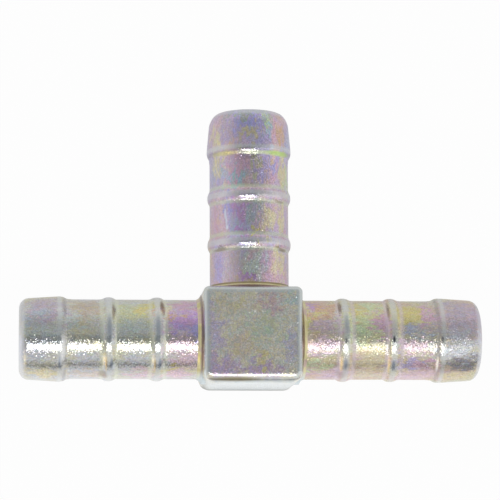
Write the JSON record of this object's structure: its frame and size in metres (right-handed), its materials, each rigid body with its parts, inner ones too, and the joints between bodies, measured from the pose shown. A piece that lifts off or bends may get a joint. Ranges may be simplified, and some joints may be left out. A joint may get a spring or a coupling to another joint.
{
  "type": "hose tee connector",
  "caption": "Metal hose tee: a square centre block with turned tails, each with rounded beads and an end barb, brazed in, plated with an iridescent finish.",
  "frame": {"origin": "where the run axis and the branch axis cross, inside the centre block", "axes": "+X along the run towards the right tail, +Y along the branch tail towards its mouth, +Z is the block's thickness, upwards when the tee lies flat on the block's underside"},
  "size_m": [0.0582, 0.035, 0.012],
  "materials": {
    "block_plating": "matte zinc plating with an olive, iridescent passivated film",
    "tail_plating": "satin zinc plating with faint yellow, pink and blue iridescence",
    "braze": "plated braze, tan to brown, slightly rough"
  },
  "bodies": {
    "root": {"centre_block": "block_plating", "left_tail": "tail_plating", "right_tail": "tail_plating", "branch_tail": "tail_plating", "left_braze_fillet": "braze", "right_braze_fillet": "braze", "branch_braze_fillet": "braze"}
  },
  "joints": []
}
